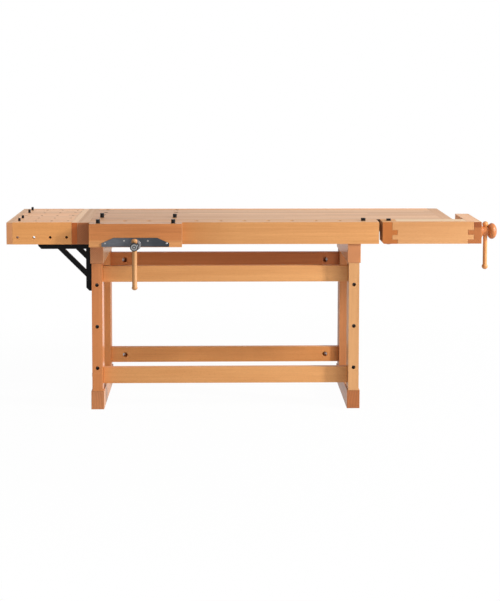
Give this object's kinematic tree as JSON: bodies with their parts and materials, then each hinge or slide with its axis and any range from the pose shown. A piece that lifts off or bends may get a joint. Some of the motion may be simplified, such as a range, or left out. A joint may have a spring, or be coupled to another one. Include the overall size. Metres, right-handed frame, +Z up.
{
  "type": "woodworking bench with vises",
  "caption": "Beech woodworking bench on trestle legs with a front vise, a tail vise, bench dogs and a drilled end extension on steel brackets.",
  "frame": {"origin": "on the floor, under the middle of the bounding box", "axes": "+X along the bench from the extension to the tail vise, +Y from the front vise to the back, +Z up"},
  "size_m": [2.339, 0.7778, 0.921],
  "materials": {
    "beech": "oiled planed beech, long grain",
    "beech_top": "oiled planed beech, top boards",
    "beech_end_grain": "oiled beech showing end grain",
    "turned_beech": "turned and oiled beech",
    "steel": "bright turned steel",
    "plate_steel": "blue-grey rolled plate",
    "black_steel": "black powder coat",
    "dog_black": "blackened steel"
  },
  "bodies": {
    "bench": {"bench_top": "beech_top", "dog_rail": "beech", "rear_apron": "beech", "left_end_cap": "beech_end_grain", "right_end_cap": "beech_end_grain", "left_bearer": "beech_end_grain", "left_foot": "beech_end_grain", "left_front_leg": "beech", "left_rear_leg": "beech", "right_bearer": "beech_end_grain", "right_foot": "beech_end_grain", "right_front_leg": "beech", "right_rear_leg": "beech", "upper_front_stretcher": "beech", "left_upper_front_bolt": "steel", "right_upper_front_bolt": "steel", "upper_rear_stretcher": "beech", "left_upper_rear_bolt": "steel", "right_upper_rear_bolt": "steel", "lower_front_stretcher": "beech", "left_lower_front_bolt": "steel", "right_lower_front_bolt": "steel", "lower_rear_stretcher": "beech", "left_lower_rear_bolt": "steel", "right_lower_rear_bolt": "steel", "extension_top": "beech_top", "extension_front_panel": "beech", "extension_rear_panel": "beech", "extension_outer_panel": "beech_end_grain", "extension_inner_panel": "beech_end_grain", "front_bracket": "black_steel", "rear_bracket": "black_steel", "front_nut": "black_steel", "tail_nut": "beech"},
    "front_vise": {"front_jaw": "beech", "face_plate": "plate_steel", "guide_bar_1": "steel", "guide_bar_2": "steel"},
    "front_screw": {"front_screw": "steel"},
    "front_handle": {"front_handle": "turned_beech", "front_handle_knob": "turned_beech"},
    "tail_vise": {"tail_jaw": "beech_end_grain", "tail_front_board": "beech", "tail_cover": "beech_top", "tail_end_block": "beech_end_grain", "tail_guide_bar": "steel"},
    "tail_screw": {"tail_screw": "steel", "tail_screw_head": "turned_beech"},
    "tail_handle": {"tail_handle": "turned_beech", "tail_handle_knob": "turned_beech"},
    "left_jaw_dog": {"left_jaw_dog": "dog_black"},
    "right_jaw_dog": {"right_jaw_dog": "dog_black"},
    "left_top_dog": {"left_top_dog": "dog_black"},
    "right_top_dog": {"right_top_dog": "dog_black"},
    "rail_dog": {"rail_dog": "dog_black"},
    "tail_dog": {"tail_dog": "dog_black"},
    "extension_dog_1": {"extension_dog_1": "dog_black"},
    "extension_dog_2": {"extension_dog_2": "dog_black"},
    "extension_dog_3": {"extension_dog_3": "dog_black"},
    "extension_dog_4": {"extension_dog_4": "dog_black"}
  },
  "joints": [
    {"name": "front_vise_slide", "type": "slide", "parent": "bench", "child": "front_vise", "axis": [0, -1, 0], "range_m": [0, 0.15]},
    {"name": "front_screw_turn", "type": "hinge", "parent": "front_vise", "child": "front_screw", "pos_m": [-0.55825, -0.35895, 0.802], "axis": [0, -1, 0], "range_deg": [0, 5404]},
    {"name": "front_handle_slide", "type": "slide", "parent": "front_screw", "child": "front_handle", "axis": [0, 0, 1], "range_m": [0, 0.166]},
    {"name": "tail_vise_slide", "type": "slide", "parent": "bench", "child": "tail_vise", "axis": [1, 0, 0], "range_m": [-0.0168, 0.13]},
    {"name": "tail_screw_turn", "type": "hinge", "parent": "tail_vise", "child": "tail_screw", "pos_m": [1.11455, -0.16505, 0.849], "axis": [1, 0, 0], "range_deg": [-607, 4684]},
    {"name": "tail_handle_slide", "type": "slide", "parent": "tail_screw", "child": "tail_handle", "axis": [0, 0, 1], "range_m": [0, 0.136]},
    {"name": "left_jaw_dog_lift", "type": "slide", "parent": "front_vise", "child": "left_jaw_dog", "axis": [0, 0, 1], "range_m": [-0.018, 0.06]},
    {"name": "right_jaw_dog_lift", "type": "slide", "parent": "front_vise", "child": "right_jaw_dog", "axis": [0, 0, 1], "range_m": [-0.018, 0.06]},
    {"name": "left_top_dog_lift", "type": "slide", "parent": "bench", "child": "left_top_dog", "axis": [0, 0, 1], "range_m": [-0.021, 0.06]},
    {"name": "right_top_dog_lift", "type": "slide", "parent": "bench", "child": "right_top_dog", "axis": [0, 0, 1], "range_m": [-0.017, 0.06]},
    {"name": "rail_dog_lift", "type": "slide", "parent": "bench", "child": "rail_dog", "axis": [0, 0, 1], "range_m": [-0.013, 0.06]},
    {"name": "tail_dog_lift", "type": "slide", "parent": "tail_vise", "child": "tail_dog", "axis": [0, 0, 1], "range_m": [-0.01, 0.06]},
    {"name": "extension_dog_1_lift", "type": "slide", "parent": "bench", "child": "extension_dog_1", "axis": [0, 0, 1], "range_m": [-0.014, 0.035]},
    {"name": "extension_dog_2_lift", "type": "slide", "parent": "bench", "child": "extension_dog_2", "axis": [0, 0, 1], "range_m": [-0.014, 0.035]},
    {"name": "extension_dog_3_lift", "type": "slide", "parent": "bench", "child": "extension_dog_3", "axis": [0, 0, 1], "range_m": [-0.017, 0.035]},
    {"name": "extension_dog_4_lift", "type": "slide", "parent": "bench", "child": "extension_dog_4", "axis": [0, 0, 1], "range_m": [-0.017, 0.035]}
  ],
  "couplings": [
    {"joint": "front_screw_turn", "follows": "front_vise_slide", "rad_per_m": 628.32},
    {"joint": "tail_screw_turn", "follows": "tail_vise_slide", "rad_per_m": 628.32}
  ]
}
